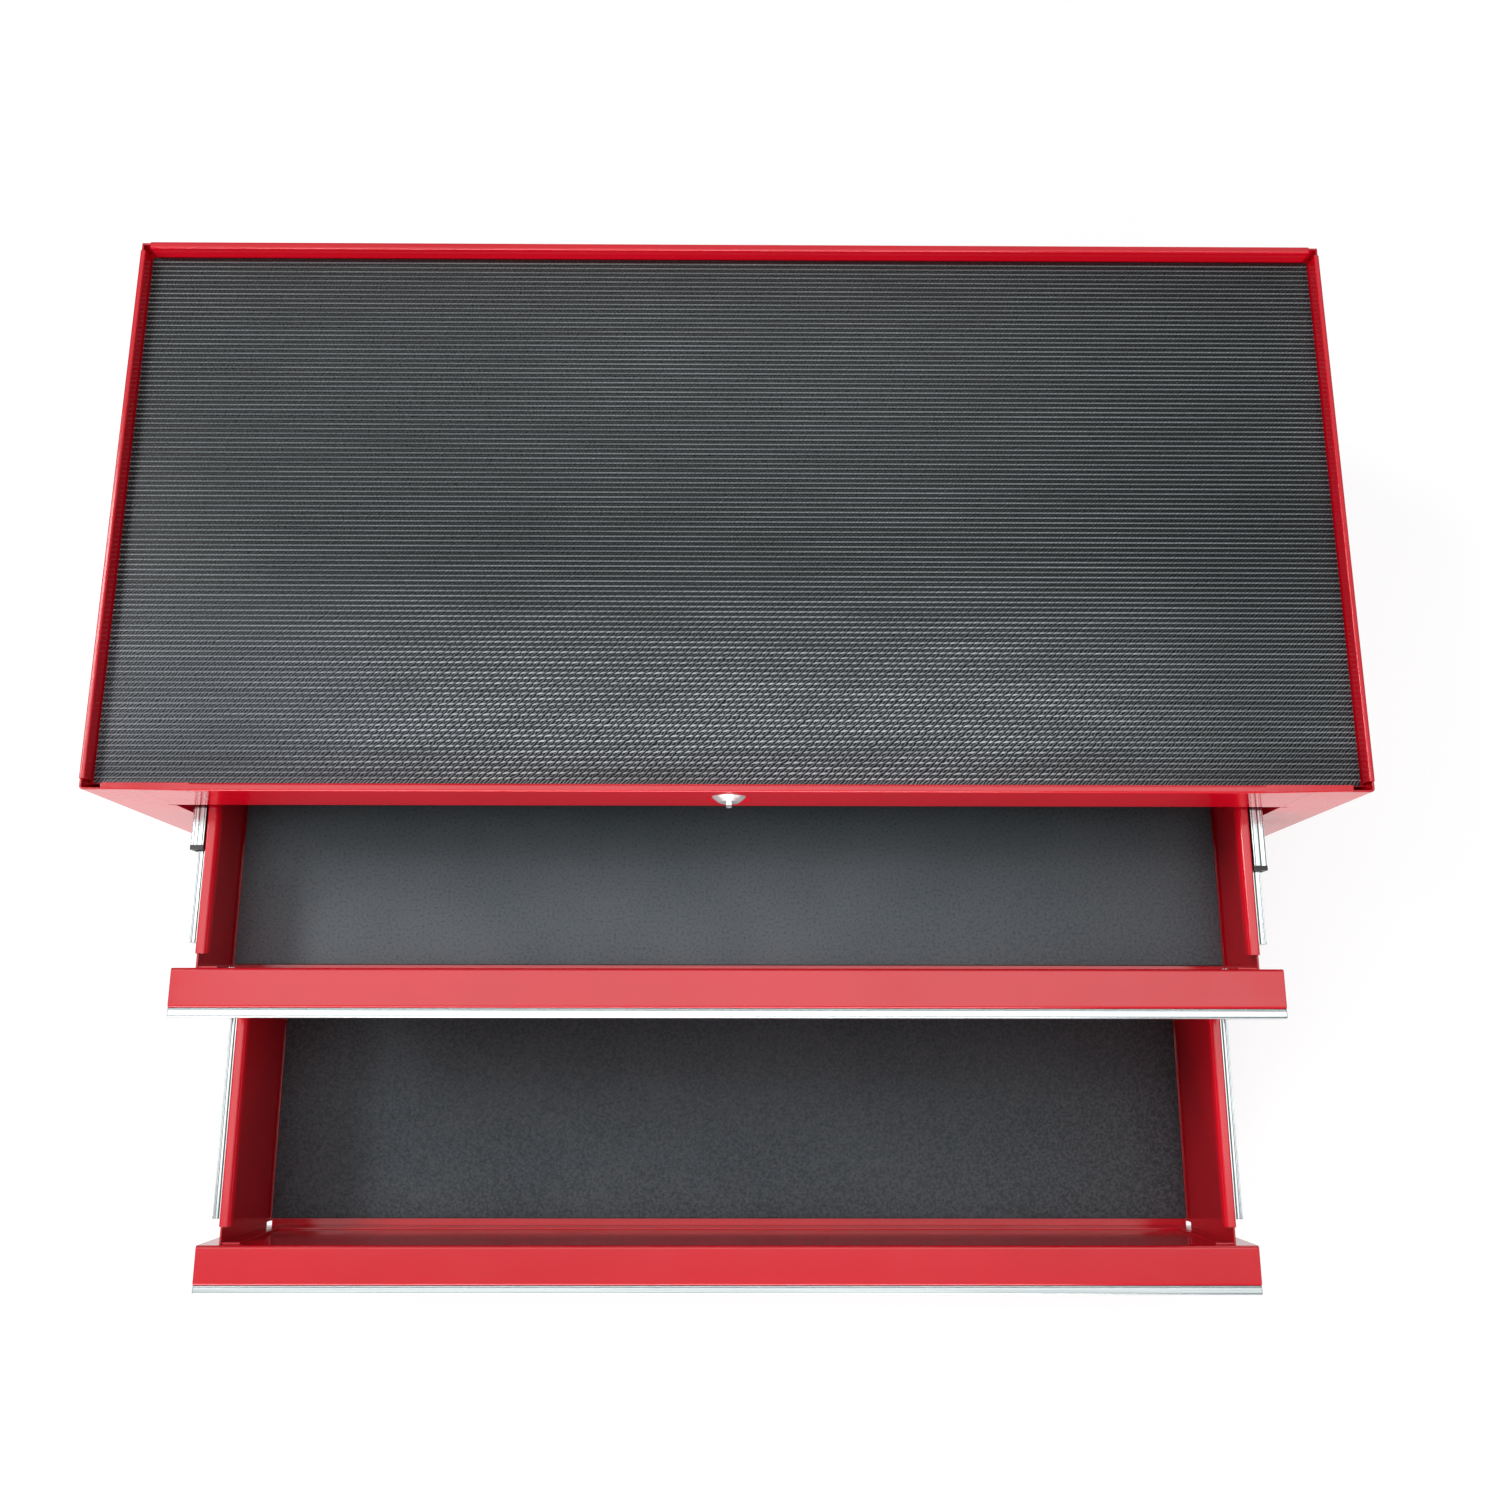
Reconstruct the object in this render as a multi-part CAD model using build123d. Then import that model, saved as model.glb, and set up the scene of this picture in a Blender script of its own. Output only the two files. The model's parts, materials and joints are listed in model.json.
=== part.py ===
"""Two-drawer intermediate tool chest, in millimetres.

The origin is the centre of the cabinet's underside.  +Z is up, +X is to the right as
seen from the front, and the front faces -Y.  Both drawers stand open: the upper one by
upper_out, the lower one by lower_out.
"""

from build123d import *
import math
import os

os.makedirs("parts", exist_ok=True)

# Cabinet
cabinet_width = 660.0
cabinet_depth = 312.0
cabinet_height = 216.0
sheet = 1.0                     # painted steel sheet of the cabinet and the drawers
corner_radius = 2.0             # upright front corners
post_width = 31.3               # front face beside the drawer opening
post_return = 12.0              # flange that runs back from the opening's edge
weld_flange = 12.0              # hidden flanges that join the sheets
bottom_rail_height = 9.0
rail_return = 14.0

# Rims and tray on top
side_hem_width = 3.0
back_hem_width = 4.0
hem_front_gap = 5.5             # the side hems stop short of the front
hem_back_gap = 5.5              # and every hem stops short of the back corners
hem_drop = 1.7                  # a plain edge lies this far under a hem's top
tray_depth = 10.0               # rim to tray floor
tray_notch = 10.5               # relief at the tray's front corners, from the side sheet
lip_width = 4.3                 # folded lip along the tray's front
lip_radius = 1.2
mat_thickness = 1.5
mat_side_gap = 0.7
mat_end_gap = 0.5
nameplate_half_width = 273.5    # front flange, proud of the posts by one sheet
nameplate_drop = 35.0           # rim to the lower edge of the tray's front flange
header_drop = 44.0              # rim to the top edge of the drawer opening
relief_width = 3.7
relief_height = 1.0

# Slides, one on each side of each drawer, full extension with three members
slide_thickness = 12.7
slide_end_room = 58.0           # cabinet depth that the slides leave free
slide_setback = 6.0             # cabinet member behind the front face
slide_half_height = 17.5
slide_sheet = 1.2
slide_web_gap = 3.3             # cabinet member to middle member, room for the outer cage
slide_under_hem = 14.5          # drawer's hem top down to the slide's centre line
ball_radius = 1.5
race_clearance = 0.15
groove_depth = 0.5
cage_sheet = 0.4
cage_length = 90.0
cage_balls = 6
ball_pitch = 14.0
cage_hole_clearance = 0.2
middle_flange_start = 1.0       # middle member's flanges, from the drawer wall
drawer_flange_reach = 5.2       # drawer member's flanges, from the drawer wall
outer_ball_line = 5.4
inner_ball_line = 2.9
outer_cage_closed = 75.0        # cage fronts behind the cabinet's face, drawer shut
inner_cage_closed = 95.0
bumper_length = 2.4
bumper_overhang = 0.6
upper_left_setback = 20.2       # middle member's bumper behind the cabinet's face, drawer shut
upper_right_setback = 10.0
lower_setback = 16.5
upright_inset = 3.4             # slide seat behind the opening's edge, seen from the front
upright_length = 30.0
front_upright_setback = 15.0
rear_upright_margin = 20.0      # slide's rear end behind the rear upright
rivet_radius = 1.95
rivet_head_radius = 3.6
rivet_head_height = 0.9
dome_head_radius = 2.7          # heads inside the drawers
dome_head_height = 1.1

# Drawers
upper_out = 87.5                # from shut to the pose that is modelled
lower_out = 235.0
upper_front_height = 64.0
top_gap = 4.0                   # header to the upper drawer's ledge
drawer_gap = 3.0                # between the fronts, and over the bottom rail
side_gap = 4.7                  # front's end to the opening's edge
ledge_depth = 19.9              # pull ledge, forward of the front's face
ledge_lip = 13.0
ledge_radius = 1.5
front_bottom_return = 8.0
return_end_relief = 14.0        # the return stops short of the front's ends
upper_skirt = 10.0              # front's lower edge below the drawer floor
lower_skirt = 6.0
hem_below_ledge = 0.5
drawer_rear_room = 27.0         # cabinet depth that the drawer boxes leave free
drawer_hem_width = 6.2
drawer_hem_bend = 3.6           # inner bend of the hem; the outer one is tight
drawer_hem_leg = 2.5
upper_hem_setback = 8.4         # walls' hems behind the front's face
lower_hem_setback = 10.6
floor_flange = 13.0
flange_end_gap = 1.5            # floor flange to the side wall
tab_width = 11.0
tab_gap = 2.0                   # floor flange to the tab above it
tab_drop = 1.0
corner_slit = 3.4
corner_slit_height = 6.0
back_wall_drop = 6.0            # back wall's top below the side hems
liner_thickness = 2.0
liner_side_gap = 1.0
liner_front_gap = 5.0
liner_back_gap = 1.5
front_rivet_setback = 47.0      # behind the front's face
rear_rivet_margin = 38.5        # drawer member's rear end behind the rear rivet
member_setback = 14.5           # drawer member's front end behind the front's face

# Aluminium pull trim on the ledge
trim_reach = 5.0
trim_height = 15.0
trim_wall = 1.4
trim_radius = 1.4
trim_top_drop = 0.4
trim_hook = 5.5
trim_groove = 0.6

# Lock
lock_drop = 18.5                # rim to the lock's centre line
dish_radius = 11.7
dish_floor_radius = 9.9
dish_depth = 1.2
bezel_radius = 8.9
bezel_height = 3.0
bezel_shoulder_radius = 7.6     # where the bezel's cone turns less steep
bezel_shoulder_height = 1.45
bezel_rim = 0.3
barrel_radius = 6.8
barrel_length = 24.0
hole_clearance = 0.3
plug_radius = 5.0
plug_clearance = 0.08
plug_rib_width = 2.8
plug_rib_height = 8.4
plug_rib_reach = 2.1
key_slot_width = 1.0
key_slot_height = 6.4
key_slot_depth = 9.0
plug_tail = 3.0
clip_groove = 0.8
clip_thickness = 0.8
clip_clearance = 0.15
horseshoe_half_width = 11.5     # plate that holds the lock from behind
horseshoe_thickness = 1.2
horseshoe_groove = 0.9
horseshoe_drop = 5.0            # plate's lower edge below the barrel
rod_radius = 2.5
rod_bite = 6.0                  # rod pressed into the plug's tail
crank_radius = 6.0
crank_unlocked_angle = -75.0    # degrees from level; locking turns it up by a quarter
crank_sheet = 2.0
crank_pin_radius = 2.0
bar_thickness = 2.0
bar_half_width = 10.0
bar_clearance = 0.3
slot_clearance = 1.1
slot_wall = 2.4
hook_width = 12.0
hook_tip = 6.0
catch_sheet = 1.5
catch_half_width = 8.0
catch_arm = 13.0
catch_lip = 8.0
catch_below_back = 6.0          # catch arm under the back wall's top edge
hook_free_gap = 3.0             # hook tip below the catch lip when unlocked
hook_play = 1.0
rod_bracket_from_back = 26.0
upper_guide_drop = 32.0         # guides below the upper drawer's catch arm
lower_guide_drop = 56.0

# Planes and levels that the pieces share
half_width = cabinet_width / 2
front = -cabinet_depth / 2
back = cabinet_depth / 2
top = cabinet_height
inner_half = half_width - sheet
opening_half = half_width - post_width
opening_top = top - header_drop
tray_floor_top = top - tray_depth
tray_underside = tray_floor_top - sheet
back_inner = back - sheet
lip_half = half_width - sheet - tray_notch
seat_half = opening_half - upright_inset
box_half = seat_half - slide_thickness
front_half = opening_half - side_gap
slide_length = cabinet_depth - slide_end_room
rear_upright_setback = slide_setback + slide_length - rear_upright_margin - upright_length
box_length = cabinet_depth - drawer_rear_room
rear_rivet_setback = member_setback + slide_length - rear_rivet_margin
lock_z = top - lock_drop

upper_ledge = opening_top - top_gap
upper_bottom = upper_ledge - upper_front_height
lower_ledge = upper_bottom - drawer_gap
lower_bottom = bottom_rail_height + drawer_gap

# Slide section, measured from the drawer wall outwards and from the centre line up
race_gap = 2 * (ball_radius + race_clearance - groove_depth)
groove_radius = ball_radius + race_clearance
outer_race = slide_half_height - slide_sheet
middle_half_height = outer_race - race_gap
inner_race = middle_half_height - slide_sheet
member_half_height = inner_race - race_gap
outer_web = slide_thickness - slide_sheet
middle_web_face = outer_web - slide_web_gap


def block(x, y, z):
    """Box between three (low, high) pairs."""
    size = (x[1] - x[0], y[1] - y[0], z[1] - z[0])
    centre = (sum(x) / 2, sum(y) / 2, sum(z) / 2)
    return Pos(*centre) * Box(*size)


def outline_face(corners, place):
    """Flat face through (u, v) or (u, v, radius) corners; place gives their 3-D point."""
    points = [Vector(c[0], c[1]) for c in corners]
    radii = [c[2] if len(c) > 2 else 0 for c in corners]
    count = len(points)
    arcs = []
    for i, (point, radius) in enumerate(zip(points, radii)):
        if radius == 0:
            arcs.append((point, None, point))
            continue
        to_last = (points[i - 1] - point).normalized()
        to_next = (points[(i + 1) % count] - point).normalized()
        half_turn = math.radians(to_last.get_angle(to_next)) / 2
        setback = radius / math.tan(half_turn)
        crown = radius / math.sin(half_turn) - radius
        middle = point + (to_last + to_next).normalized() * crown
        arcs.append((point + to_last * setback, middle, point + to_next * setback))
    edges = []
    for i, (start, middle, end) in enumerate(arcs):
        if middle is not None:
            edges.append(ThreePointArc(place(start), place(middle), place(end)))
        following = arcs[(i + 1) % count][0]
        if (following - end).length > 1e-6:
            edges.append(Line(place(end), place(following)))
    return make_face(edges)


def along_x(corners, span):
    """Prism of a (y, z) outline between two x values."""
    face = outline_face(corners, lambda p: (span[0], p.X, p.Y))
    return extrude(face, amount=span[1] - span[0], dir=(1, 0, 0))


def along_y(corners, span):
    """Prism of an (x, z) outline between two y values."""
    face = outline_face(corners, lambda p: (p.X, span[0], p.Y))
    return extrude(face, amount=span[1] - span[0], dir=(0, 1, 0))


def along_z(corners, span):
    """Prism of an (x, y) outline between two z values."""
    face = outline_face(corners, lambda p: (p.X, p.Y, span[0]))
    return extrude(face, amount=span[1] - span[0], dir=(0, 0, 1))


def rod_x(radius, x, y, z):
    """Round bar along X between the x pair."""
    return Pos(sum(x) / 2, y, z) * Rot(0, 90, 0) * Cylinder(radius, x[1] - x[0])


def rod_y(radius, x, y, z):
    """Round bar along Y between the y pair."""
    return Pos(x, sum(y) / 2, z) * Rot(90, 0, 0) * Cylinder(radius, y[1] - y[0])


def rod_z(radius, x, y, z):
    """Round bar along Z between the z pair."""
    return Pos(x, y, sum(z) / 2) * Cylinder(radius, z[1] - z[0])


def slide_centre(ledge_z):
    """Height of a drawer's slides, from the height of its ledge."""
    return ledge_z - hem_below_ledge - slide_under_hem


def flip(shape):
    """The same piece for the other side of the chest."""
    return mirror(shape, about=Plane.YZ)


def save(node, pieces):
    """Write one node: a single solid, or a group of like solids."""
    solids = [solid for piece in pieces for solid in piece.solids()]
    shape = solids[0] if len(solids) == 1 else Compound(solids)
    export_step(shape, "parts/" + node + ".step")


def save_pair(node, shape):
    """Write the right-hand piece and its mirror image."""
    save("right_" + node, [shape])
    save("left_" + node, [flip(shape)])


# Cabinet

def side_panel():
    """Right side sheet with its front post, the opening's return and the top hem."""
    plain_top = top - hem_drop
    wrap = along_z(
        [
            (half_width, back),
            (half_width, front, corner_radius),
            (opening_half, front),
            (opening_half, front + sheet),
            (inner_half, front + sheet, corner_radius - sheet),
            (inner_half, back),
        ],
        (0, plain_top),
    )
    opening_return = block(
        (opening_half, opening_half + sheet),
        (front + sheet, front + sheet + post_return),
        (sheet, tray_underside),
    )
    hem_inner = half_width - side_hem_width
    hem = along_y(
        [
            (half_width, plain_top - sheet),
            (half_width, top, sheet),
            (hem_inner, top, sheet),
            (hem_inner, tray_floor_top),
            (hem_inner + sheet, tray_floor_top),
            (hem_inner + sheet, top - sheet),
            (inner_half, top - sheet),
            (inner_half, plain_top - sheet),
        ],
        (front + hem_front_gap, back - hem_back_gap),
    )
    relief = block(
        (opening_half - sheet, opening_half + relief_width),
        (front - sheet, front + sheet),
        (opening_top - relief_height, opening_top),
    )
    return wrap + opening_return + hem - relief


def back_panel():
    """Back sheet between the sides, with side flanges and the top hem."""
    flat = block((-inner_half, inner_half), (back_inner, back), (0, top - hem_drop))
    hem_front = back - back_hem_width
    hem = along_x(
        [
            (back, top - hem_drop - sheet),
            (back, top, sheet),
            (hem_front, top, sheet),
            (hem_front, tray_floor_top),
            (hem_front + sheet, tray_floor_top),
            (hem_front + sheet, top - sheet),
            (back_inner, top - sheet),
            (back_inner, top - hem_drop - sheet),
        ],
        (-half_width + hem_back_gap, half_width - hem_back_gap),
    )
    flange = block(
        (inner_half - sheet, inner_half), (back_inner - weld_flange, back_inner), (sheet, tray_underside)
    )
    return flat + hem + flange + flip(flange)


def pan_flanges(low, high):
    """Side flanges inside the cabinet's side sheets, clear of the back panel's own."""
    flange = block(
        (inner_half - sheet, inner_half),
        (front + front_upright_setback, back_inner - weld_flange - sheet),
        (low, high),
    )
    return flange + flip(flange)


def bottom_panel():
    """Bottom pan: floor, front rail with its return, back and side flanges."""
    floor = along_z(
        [
            (-inner_half, back_inner),
            (-inner_half, front + sheet, corner_radius),
            (inner_half, front + sheet, corner_radius),
            (inner_half, back_inner),
        ],
        (0, sheet),
    )
    rail = block((-opening_half, opening_half), (front, front + sheet), (0, bottom_rail_height))
    rail_top = block(
        (-opening_half, opening_half),
        (front, front + rail_return),
        (bottom_rail_height - sheet, bottom_rail_height),
    )
    rear = block(
        (-inner_half + weld_flange, inner_half - weld_flange),
        (back_inner - sheet, back_inner),
        (0, sheet + weld_flange),
    )
    return floor + rail + rail_top + rear + pan_flanges(0, sheet + weld_flange)


def front_header():
    """Cross rail over the drawer opening, flush with the posts."""
    face = block((-opening_half, opening_half), (front, front + sheet), (opening_top, top - hem_drop))
    flange = block(
        (-opening_half, opening_half), (front, front + rail_return), (opening_top, opening_top + sheet)
    )
    hole = rod_y(dish_radius + sheet, 0, (front - sheet, front + 2 * sheet), lock_z)
    return face + flange - hole


def tray_panel():
    """Tray floor with a folded front lip, its tapered front flange and the lock's dish."""
    lip_back = front - sheet + lip_width
    floor = block((-inner_half, inner_half), (lip_back - sheet, back_inner), (tray_underside, tray_floor_top))
    notch = block(
        (lip_half, half_width), (front - sheet, lip_back + sheet), (tray_underside - sheet, top)
    )
    lip = along_x(
        [
            (front - sheet, top - nameplate_drop),
            (front - sheet, top, lip_radius),
            (lip_back, top, lip_radius),
            (lip_back, tray_underside),
            (lip_back - sheet, tray_underside),
            (lip_back - sheet, top - sheet),
            (front, top - sheet),
            (front, top - nameplate_drop),
        ],
        (-nameplate_half_width, nameplate_half_width),
    )
    lip += lip_end(lip_back) + flip(lip_end(lip_back))
    side_flanges = pan_flanges(tray_underside - weld_flange, tray_underside)
    rear = block(
        (2 * bar_half_width, inner_half - weld_flange),
        (back_inner - sheet, back_inner),
        (tray_underside - weld_flange, tray_underside),
    )
    well = rod_y(dish_radius, 0, (front - 2 * sheet, front + sheet), lock_z)
    shell = floor + lip + side_flanges + rear + flip(rear) - notch - flip(notch) - well
    return shell + lock_dish()


def lip_end(lip_back):
    """End of the front lip, where it narrows from the proud flange to the post's face."""
    cover = along_z(
        [
            (nameplate_half_width, front - sheet),
            (lip_half, front),
            (lip_half, lip_back),
            (nameplate_half_width, lip_back),
        ],
        (top - sheet, top),
    )
    front_edge = cover.edges().filter_by_position(Axis.Z, top, top).sort_by(Axis.Y)[0]
    cover = fillet(front_edge, lip_radius / 2)
    wall = block(
        (nameplate_half_width, lip_half), (lip_back - sheet, lip_back), (tray_underside, top - sheet)
    )
    return cover + wall


def lock_dish():
    """Shallow dish pressed into the front flange round the lock."""
    face = front - sheet
    profile = [
        (dish_radius, face),
        (dish_radius, face + sheet),
        (dish_floor_radius, face + dish_depth + sheet),
        (barrel_radius + hole_clearance, face + dish_depth + sheet),
        (barrel_radius + hole_clearance, face + dish_depth),
        (dish_floor_radius, face + dish_depth),
    ]
    section = outline_face(profile, lambda p: (p.X, p.Y, lock_z))
    return revolve(section, axis=Axis((0, 0, lock_z), (0, 1, 0)))


def tray_mat():
    """Ribbed mat that lies in the tray, drawn as a plain sheet."""
    side = half_width - side_hem_width - mat_side_gap
    return block(
        (-side, side),
        (front - sheet + lip_width + mat_end_gap + sheet, back - back_hem_width - mat_end_gap),
        (tray_floor_top, tray_floor_top + mat_thickness),
    )


def slide_upright(setback):
    """C-section upright that carries the cabinet members, from the pan to the tray."""
    near = front + setback
    far = near + upright_length
    side = inner_half - sheet
    levels = (sheet, tray_underside)
    web = block((seat_half, seat_half + sheet), (near, far), levels)
    legs = block((seat_half, side), (near, near + sheet), levels)
    legs += block((seat_half, side), (far - sheet, far), levels)
    upright = web + legs
    for ledge_z in (upper_ledge, lower_ledge):
        upright -= rod_x(
            rivet_radius, (seat_half - sheet, seat_half + 2 * sheet), (near + far) / 2, slide_centre(ledge_z)
        )
    return upright


# Slides

def channel(reach, web_face, half_height, opens_inwards):
    """Outline of a slide member as (distance from the drawer wall, height) corners."""
    web_back = web_face + slide_sheet if opens_inwards else web_face - slide_sheet
    inner = half_height - slide_sheet
    return [
        (reach, half_height),
        (web_back, half_height, slide_sheet),
        (web_back, -half_height, slide_sheet),
        (reach, -half_height),
        (reach, -inner),
        (web_face, -inner),
        (web_face, inner),
        (reach, inner),
    ]


def slide_piece(outline, span, centre_z):
    """Right-hand prism of a slide outline along Y."""
    corners = [(box_half + c[0], centre_z + c[1], *c[2:]) for c in outline]
    return along_y(corners, span)


def race(line, level, span, centre_z):
    """Round groove for a row of balls, above and below the centre line."""
    grooves = [
        rod_y(groove_radius, box_half + line, (span[0] - 1, span[1] + 1), centre_z + sign * level)
        for sign in (1, -1)
    ]
    return grooves[0] + grooves[1]


outer_ball_level = outer_race - race_gap / 2
inner_ball_level = inner_race - race_gap / 2


def cabinet_member(centre_z):
    """Fixed outer member, open towards the drawer."""
    span = (front + slide_setback, front + slide_setback + slide_length)
    body = slide_piece(channel(middle_flange_start, outer_web, slide_half_height, True), span, centre_z)
    body -= race(outer_ball_line, outer_ball_level, span, centre_z)
    for y in rivet_places():
        body -= rod_x(rivet_radius, (seat_half - 2 * slide_sheet, seat_half + slide_sheet), y, centre_z)
    return body


def rivet_places():
    """Y of the two rivets that hold a cabinet member to its uprights."""
    return [front + setback + upright_length / 2 for setback in (front_upright_setback, rear_upright_setback)]


def mount_rivets(centre_z):
    """Rivets, flush inside the member and headed behind the upright."""
    rivets = []
    for y in rivet_places():
        shank = rod_x(rivet_radius, (seat_half - slide_sheet, seat_half + sheet), y, centre_z)
        head = rod_x(
            rivet_head_radius, (seat_half + sheet, seat_half + sheet + rivet_head_height), y, centre_z
        )
        rivets += [shank + head]
    return rivets + [flip(rivet) for rivet in rivets]


def middle_member(front_y, centre_z):
    """Middle member, behind its bumper."""
    span = (front_y + bumper_length, front_y + slide_length)
    outline = channel(middle_flange_start, middle_web_face - slide_sheet, middle_half_height, True)
    body = slide_piece(outline, span, centre_z)
    body -= race(outer_ball_line, outer_ball_level, span, centre_z)
    return body - race(inner_ball_line, inner_ball_level, span, centre_z)


def slide_bumper(front_y, centre_z):
    """Plastic cap on the middle member's front end."""
    reach = middle_flange_start - bumper_overhang
    wall = slide_sheet + bumper_overhang
    outer = middle_half_height + bumper_overhang
    inner = middle_half_height - wall
    outline = [
        (reach, outer, bumper_overhang),
        (middle_web_face, outer, slide_sheet),
        (middle_web_face, -outer, slide_sheet),
        (reach, -outer, bumper_overhang),
        (reach, -inner),
        (middle_web_face - wall, -inner),
        (middle_web_face - wall, inner),
        (reach, inner),
    ]
    return slide_piece(outline, (front_y, front_y + bumper_length), centre_z)


def drawer_member(front_y, centre_z, rivet_ys):
    """Inner member on the drawer wall, with a small tab across its front end."""
    span = (front_y, front_y + slide_length)
    outline = [
        (drawer_flange_reach, member_half_height),
        (0, member_half_height, slide_sheet),
        (0, -member_half_height, slide_sheet),
        (drawer_flange_reach, -member_half_height),
        (drawer_flange_reach, slide_sheet - member_half_height),
        (slide_sheet, slide_sheet - member_half_height),
        (slide_sheet, member_half_height - slide_sheet),
        (drawer_flange_reach, member_half_height - slide_sheet),
    ]
    body = slide_piece(outline, span, centre_z)
    body -= race(inner_ball_line, inner_ball_level, span, centre_z)
    body += block(
        (box_half + slide_sheet / 2, box_half + drawer_flange_reach + slide_sheet / 2),
        (front_y, front_y + slide_sheet),
        (centre_z - member_half_height + slide_sheet, centre_z + member_half_height - slide_sheet),
    )
    for y in rivet_ys:
        body -= rod_x(rivet_radius, (box_half - slide_sheet, box_half + 2 * slide_sheet), y, centre_z)
    return body


def ball_cage(front_y, centre_z, web_low, ball_line, ball_level, reach):
    """Ball retainer strip and its two rows of balls, as separate solids."""
    span = (front_y, front_y + cage_length)
    flange_top = ball_level + cage_sheet / 2
    flange_low = ball_level - cage_sheet / 2
    web_high = web_low + cage_sheet
    outline = [
        (reach, flange_top),
        (web_high, flange_top),
        (web_high, -flange_top),
        (reach, -flange_top),
        (reach, -flange_low),
        (web_low, -flange_low),
        (web_low, flange_low),
        (reach, flange_low),
    ]
    strip = slide_piece(outline, span, centre_z)
    balls = []
    first = sum(span) / 2 - ball_pitch * (cage_balls - 1) / 2
    for i in range(cage_balls):
        y = first + i * ball_pitch
        strip -= rod_z(
            ball_radius + cage_hole_clearance,
            box_half + ball_line,
            y,
            (centre_z - flange_top - 1, centre_z + flange_top + 1),
        )
        for sign in (1, -1):
            balls.append(Pos(box_half + ball_line, y, centre_z + sign * ball_level) * Sphere(ball_radius))
    return [strip] + balls


def outer_cage(out, centre_z):
    """Cage between the cabinet member and the middle member."""
    return ball_cage(
        front + outer_cage_closed - out / 4,
        centre_z,
        middle_web_face + (slide_web_gap - cage_sheet) / 2,
        outer_ball_line,
        outer_ball_level,
        outer_ball_line - 2 * ball_radius,
    )


def inner_cage(out, centre_z):
    """Cage between the middle member and the drawer member."""
    web_room = middle_web_face - slide_sheet - drawer_flange_reach
    return ball_cage(
        front + inner_cage_closed - 3 * out / 4,
        centre_z,
        drawer_flange_reach + (web_room - cage_sheet) / 2,
        inner_ball_line,
        inner_ball_level,
        inner_ball_line - 3 * ball_radius / 2,
    )


# Drawers

def drawer_box(face_y, floor_z, hem_top, hem_setback):
    """Floor and side walls from one sheet, with rolled hems, front flange and tabs."""
    wall_front = face_y + sheet
    rear = face_y + box_length
    plain_top = hem_top - drawer_hem_width / 2
    floor = block((-box_half, box_half), (wall_front, rear), (floor_z - sheet, floor_z))
    wall = block((box_half - sheet, box_half), (wall_front, rear), (floor_z - sheet, plain_top))
    slit = block(
        (box_half - 2 * sheet, box_half + sheet),
        (wall_front - sheet, wall_front + corner_slit),
        (floor_z - 2 * sheet, floor_z + corner_slit_height),
    )
    hem_inner = box_half - drawer_hem_width
    hem = along_y(
        [
            (box_half, plain_top - sheet),
            (box_half, hem_top, sheet),
            (hem_inner, hem_top, drawer_hem_bend),
            (hem_inner, plain_top - drawer_hem_leg),
            (hem_inner + sheet, plain_top - drawer_hem_leg),
            (hem_inner + sheet, hem_top - sheet, drawer_hem_bend - sheet),
            (box_half - sheet, hem_top - sheet),
            (box_half - sheet, plain_top - sheet),
        ],
        (face_y + hem_setback, rear),
    )
    tab = block(
        (box_half - tab_width, box_half),
        (wall_front, wall_front + sheet),
        (floor_z + floor_flange + tab_gap, plain_top - tab_drop),
    )
    flange_half = box_half - sheet - flange_end_gap
    flange = block(
        (-flange_half, flange_half), (wall_front, wall_front + sheet), (floor_z, floor_z + floor_flange)
    )
    right = wall - slit + hem + tab
    return floor - slit - flip(slit) + flange + right + flip(right)


def drawer_back(face_y, floor_z, hem_top):
    """Back wall that stands on the drawer floor between the sides."""
    rear = face_y + box_length
    side = box_half - sheet
    levels = (floor_z, hem_top - back_wall_drop)
    wall = block((-side, side), (rear - sheet, rear), levels)
    flange = block((side - sheet, side), (rear - weld_flange, rear), levels)
    return wall + flange + flip(flange)


def drawer_front(face_y, ledge_z, bottom_z):
    """Front sheet: upright face, pull ledge with its lip, and the bottom return."""
    inner_radius = ledge_radius - sheet
    corners = [
        (face_y, bottom_z, ledge_radius),
        (face_y, ledge_z - sheet, inner_radius),
        (face_y - ledge_depth + sheet, ledge_z - sheet, inner_radius),
        (face_y - ledge_depth + sheet, ledge_z - ledge_lip),
        (face_y - ledge_depth, ledge_z - ledge_lip),
        (face_y - ledge_depth, ledge_z, ledge_radius),
        (face_y + sheet, ledge_z, ledge_radius),
        (face_y + sheet, bottom_z + sheet, inner_radius),
        (face_y + front_bottom_return, bottom_z + sheet),
        (face_y + front_bottom_return, bottom_z),
    ]
    sheet_front = along_x(corners, (-front_half, front_half))
    relief = block(
        (front_half - return_end_relief, front_half + 1),
        (face_y + sheet, face_y + front_bottom_return + 1),
        (bottom_z - 1, bottom_z + 2 * sheet),
    )
    return sheet_front - relief - flip(relief)


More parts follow.
